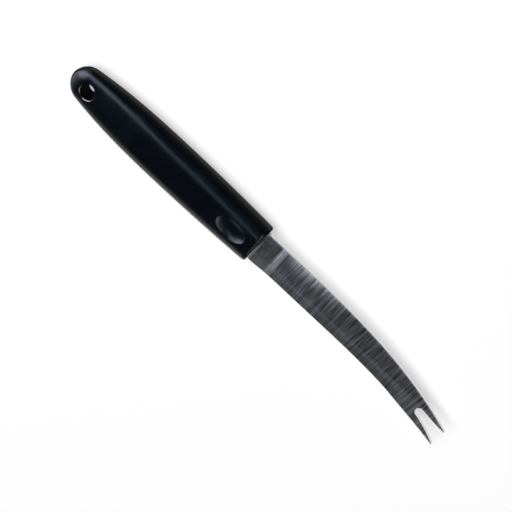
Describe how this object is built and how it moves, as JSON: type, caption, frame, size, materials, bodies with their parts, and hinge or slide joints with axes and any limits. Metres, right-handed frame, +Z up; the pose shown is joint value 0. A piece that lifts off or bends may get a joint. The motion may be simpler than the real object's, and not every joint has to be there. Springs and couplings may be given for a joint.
{
  "type": "bar knife",
  "caption": "Curved steel blade with a forked tip for slicing fruit and lifting the slices, in a rounded plastic handle with a thumb recess and a hang hole.",
  "frame": {"origin": "under the middle of the knife, on the surface that it lies on", "axes": "+X from the butt of the handle to the tips of the fork, +Y to the spine side of the blade, +Z up, square to the blade"},
  "size_m": [0.23, 0.0272, 0.0133],
  "materials": {
    "handle_plastic": "black moulded plastic with a fine satin surface",
    "blade_steel": "stainless steel ground across the blade, with a smoother bevel and a plain spine"
  },
  "bodies": {
    "root": {"handle": "handle_plastic", "blade": "blade_steel"}
  },
  "joints": []
}
